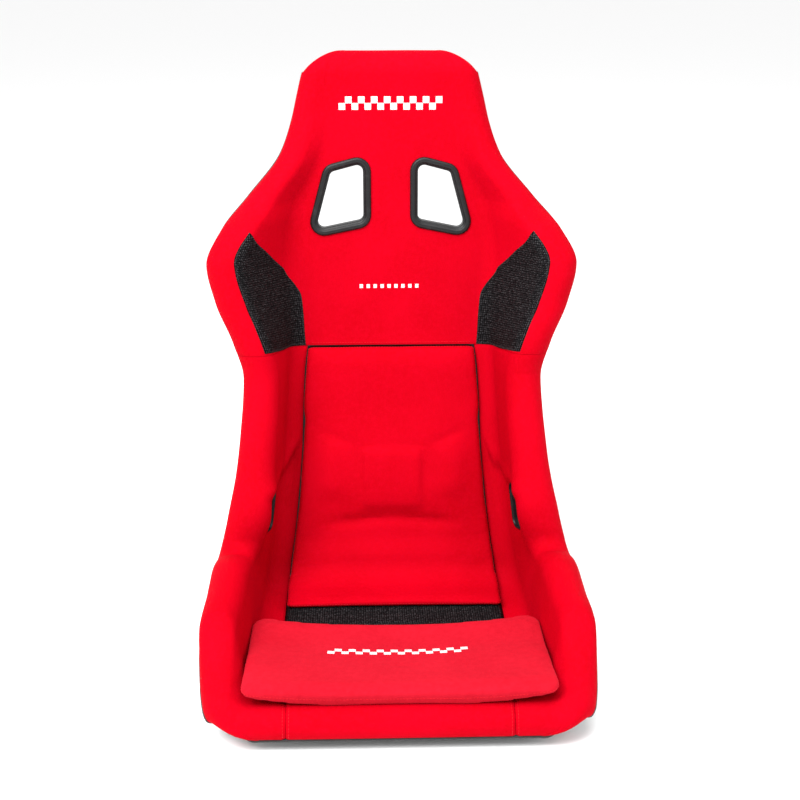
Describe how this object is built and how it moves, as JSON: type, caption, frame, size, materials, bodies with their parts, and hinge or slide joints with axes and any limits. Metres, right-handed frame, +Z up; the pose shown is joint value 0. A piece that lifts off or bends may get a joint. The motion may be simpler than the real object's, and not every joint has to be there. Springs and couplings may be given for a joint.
{
  "type": "racing bucket seat",
  "caption": "Fixed-back racing bucket seat with a padded one-piece shell, shoulder wings, harness slots and loose back, seat and thigh cushions.",
  "frame": {"origin": "on the seat's plane of symmetry, in the plane that the two moulded runners under the pan stand on, 93 mm in front of where the flat pan ends at the hip curve", "axes": "+Z up, -Y the way the driver faces, +X across the seat"},
  "size_m": [0.5912, 0.6549, 0.887],
  "materials": {
    "red_fabric": "stretched knitted seat fabric",
    "red_suede": "brushed suede-like seat fabric",
    "mesh_fabric": "black spacer mesh",
    "foam": "open-cell polyurethane foam, grey",
    "moulded_shell": "glass-fibre laminate with black gelcoat",
    "trim_plastic": "satin black moulded nylon",
    "rubber_edging": "extruded black rubber edging",
    "insert_steel": "zinc-plated steel",
    "hook_tape": "black hook-and-loop tape"
  },
  "bodies": {
    "seat_shell": {"shell": "moulded_shell", "threaded_inserts_right": "insert_steel", "threaded_inserts_left": "insert_steel", "upper_foam": "foam", "side_foam_right": "foam", "side_foam_left": "foam", "lip_foam": "foam", "shoulder_mesh_right": "mesh_fabric", "shoulder_mesh_left": "mesh_fabric", "upper_cover": "red_fabric", "side_cover_right": "red_fabric", "side_cover_left": "red_fabric", "lip_cover": "red_fabric", "shoulder_bezel_right": "trim_plastic", "shoulder_bezel_left": "trim_plastic", "shoulder_rear_ring_right": "trim_plastic", "shoulder_rear_ring_left": "trim_plastic", "lap_belt_grommet_right": "trim_plastic", "lap_belt_grommet_left": "trim_plastic", "crotch_grommet_top": "trim_plastic", "crotch_grommet_bottom": "trim_plastic", "side_edging_right": "rubber_edging", "side_edging_left": "rubber_edging", "crown_edging": "rubber_edging", "lip_edging": "rubber_edging", "seat_pad_cover": "mesh_fabric", "seat_pad_core": "foam", "back_loop_tape": "hook_tape"},
    "back_cushion": {"back_cushion_cover": "red_fabric", "back_cushion_core": "foam", "back_hook_tape": "hook_tape"},
    "thigh_cushion": {"thigh_cushion_cover": "red_suede", "thigh_cushion_core": "foam"}
  },
  "joints": [
    {"name": "back_cushion_lift", "type": "slide", "parent": "seat_shell", "child": "back_cushion", "axis": [0, -0.7071, 0.7071], "range_m": [0, 0.25]},
    {"name": "thigh_cushion_lift", "type": "slide", "parent": "seat_shell", "child": "thigh_cushion", "axis": [0, -0.866, 0.5], "range_m": [0, 0.3]}
  ]
}
